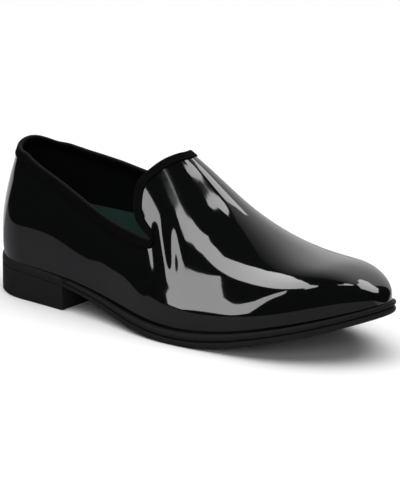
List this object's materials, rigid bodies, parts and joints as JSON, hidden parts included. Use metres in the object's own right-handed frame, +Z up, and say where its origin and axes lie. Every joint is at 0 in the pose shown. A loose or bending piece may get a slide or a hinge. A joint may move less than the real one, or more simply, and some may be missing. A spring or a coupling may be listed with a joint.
{
  "type": "dress loafer",
  "caption": "Plain-vamp patent dress loafer with bound topline and side notches, three-quarter welt, moulded sole and block heel.",
  "frame": {"origin": "on the floor under the centre of the heel's round", "axes": "+X to the toe, +Z up, -Y to the outer side of the foot"},
  "size_m": [0.2953, 0.1056, 0.1049],
  "materials": {
    "black_rubber": "moulded, low sheen",
    "green_leather": "smooth sock lining, dark teal",
    "patent_leather": "black patent, mirror gloss",
    "grosgrain": "ribbed ribbon, matte"
  },
  "bodies": {
    "root": {"heel": "black_rubber", "outsole": "black_rubber", "welt": "black_rubber", "insole": "green_leather", "upper": "patent_leather", "topline_binding": "grosgrain"}
  },
  "joints": []
}
